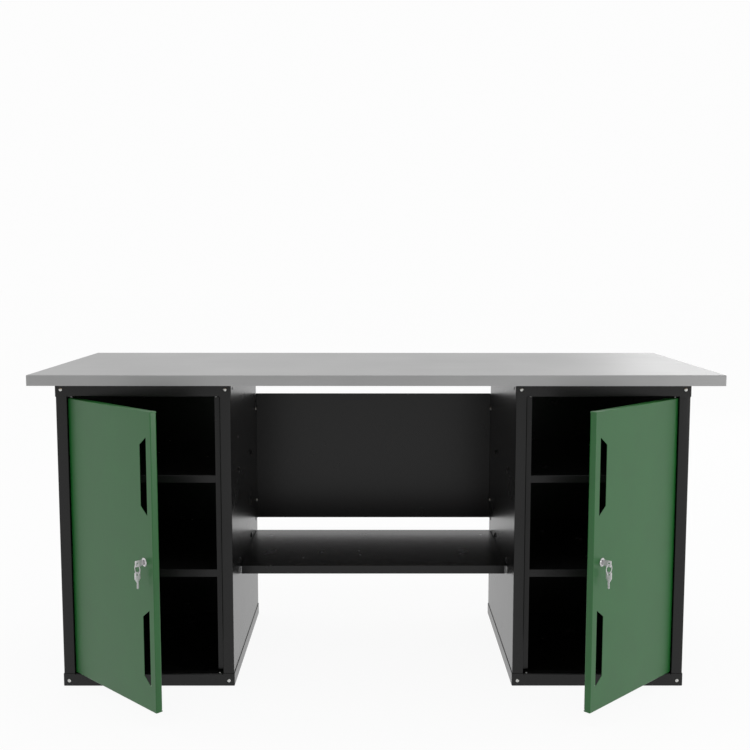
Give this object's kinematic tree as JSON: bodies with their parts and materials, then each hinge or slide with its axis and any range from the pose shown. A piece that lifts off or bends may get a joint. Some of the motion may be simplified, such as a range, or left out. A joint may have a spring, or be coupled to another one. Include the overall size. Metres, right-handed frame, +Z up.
{
  "type": "double pedestal workbench",
  "caption": "Workbench with a clad worktop on two steel door cabinets, joined by a low middle shelf and a back panel across the knee space.",
  "frame": {"origin": "on the floor, midway along the worktop's length and midway between the open doors' front reach and the worktop's rear edge", "axes": "+X to the bench's right as one stands in front of it, +Y towards its back, +Z up"},
  "size_m": [1.8, 0.9048, 0.85],
  "materials": {
    "black_paint": "satin powder coat",
    "green_paint": "satin powder coat",
    "galvanised_sheet": "cloudy, slightly scuffed",
    "particle_board": "raw board",
    "black_zinc_plate": "black plated",
    "zinc_plate": "zinc plated",
    "bare_steel": "turned",
    "chrome_plate": "bright",
    "nickel_plate": "satin",
    "black_nylon": "matt"
  },
  "bodies": {
    "bench": {"worktop_cover": "galvanised_sheet", "worktop_core": "particle_board", "middle_shelf": "black_paint", "back_panel": "black_paint", "left_base_tray": "black_paint", "left_top_cap": "black_paint", "left_outer_wall": "black_paint", "left_inner_wall": "black_paint", "left_back_wall": "black_paint", "left_lower_shelf": "black_paint", "left_upper_shelf": "black_paint", "left_lower_pivot_pin": "bare_steel", "left_upper_pivot_pin": "bare_steel", "left_shelf_bolt_1": "black_zinc_plate", "left_shelf_bolt_2": "black_zinc_plate", "left_shelf_bolt_3": "black_zinc_plate", "left_shelf_bolt_4": "black_zinc_plate", "left_shelf_bolt_5": "black_zinc_plate", "left_shelf_bolt_6": "black_zinc_plate", "left_shelf_bolt_7": "black_zinc_plate", "left_shelf_bolt_8": "black_zinc_plate", "right_base_tray": "black_paint", "right_top_cap": "black_paint", "right_outer_wall": "black_paint", "right_inner_wall": "black_paint", "right_back_wall": "black_paint", "right_lower_shelf": "black_paint", "right_upper_shelf": "black_paint", "right_lower_pivot_pin": "bare_steel", "right_upper_pivot_pin": "bare_steel", "right_shelf_bolt_1": "black_zinc_plate", "right_shelf_bolt_2": "black_zinc_plate", "right_shelf_bolt_3": "black_zinc_plate", "right_shelf_bolt_4": "black_zinc_plate", "right_shelf_bolt_5": "black_zinc_plate", "right_shelf_bolt_6": "black_zinc_plate", "right_shelf_bolt_7": "black_zinc_plate", "right_shelf_bolt_8": "black_zinc_plate"},
    "left_door": {"left_door_panel": "green_paint", "left_lock_housing": "chrome_plate", "left_lock_nut": "zinc_plate", "left_lower_door_bush": "black_nylon", "left_upper_door_bush": "black_nylon"},
    "left_lock_barrel": {"left_lock_plug": "chrome_plate", "left_lock_cam": "zinc_plate", "left_cam_screw": "zinc_plate"},
    "left_main_key": {"left_key": "nickel_plate"},
    "left_ring": {"left_key_ring": "nickel_plate"},
    "left_hanging_key": {"left_spare_key": "nickel_plate"},
    "right_door": {"right_door_panel": "green_paint", "right_lock_housing": "chrome_plate", "right_lock_nut": "zinc_plate", "right_lower_door_bush": "black_nylon", "right_upper_door_bush": "black_nylon"},
    "right_lock_barrel": {"right_lock_plug": "chrome_plate", "right_lock_cam": "zinc_plate", "right_cam_screw": "zinc_plate"},
    "right_main_key": {"right_key": "nickel_plate"},
    "right_ring": {"right_key_ring": "nickel_plate"},
    "right_hanging_key": {"right_spare_key": "nickel_plate"}
  },
  "joints": [
    {"name": "left_door_hinge", "type": "hinge", "parent": "bench", "child": "left_door", "pos_m": [-0.8024, -0.18491, 0.0365], "axis": [0, 0, -1], "range_deg": [-44.5, 65.5]},
    {"name": "left_lock_turn", "type": "hinge", "parent": "left_door", "child": "left_lock_barrel", "pos_m": [-0.56659, -0.42618, 0.41], "axis": [-0.7009, -0.7132, 0], "range_deg": [0, 90]},
    {"name": "left_key_slide", "type": "slide", "parent": "left_lock_barrel", "child": "left_main_key", "axis": [-0.7009, -0.7132, 0], "range_m": [0, 0.026]},
    {"name": "left_ring_swing", "type": "hinge", "parent": "left_main_key", "child": "left_ring", "pos_m": [-0.58039, -0.44023, 0.40865], "axis": [-0.7132, 0.7009, 0], "range_deg": [-8, 25]},
    {"name": "left_hanging_key_swing", "type": "hinge", "parent": "left_ring", "child": "left_hanging_key", "pos_m": [-0.58039, -0.44023, 0.38525], "axis": [-0.7132, 0.7009, 0], "range_deg": [-8, 25]},
    {"name": "right_door_hinge", "type": "hinge", "parent": "bench", "child": "right_door", "pos_m": [0.7864, -0.18491, 0.0365], "axis": [0, 0, 1], "range_deg": [-44.5, 65.5]},
    {"name": "right_lock_turn", "type": "hinge", "parent": "right_door", "child": "right_lock_barrel", "pos_m": [0.55059, -0.42618, 0.41], "axis": [-0.7009, 0.7132, 0], "range_deg": [0, 90]},
    {"name": "right_key_slide", "type": "slide", "parent": "right_lock_barrel", "child": "right_main_key", "axis": [0.7009, -0.7132, 0], "range_m": [0, 0.026]},
    {"name": "right_ring_swing", "type": "hinge", "parent": "right_main_key", "child": "right_ring", "pos_m": [0.56439, -0.44023, 0.40865], "axis": [-0.7132, -0.7009, 0], "range_deg": [-8, 25]},
    {"name": "right_hanging_key_swing", "type": "hinge", "parent": "right_ring", "child": "right_hanging_key", "pos_m": [0.56439, -0.44023, 0.38525], "axis": [-0.7132, -0.7009, 0], "range_deg": [-8, 25]}
  ]
}
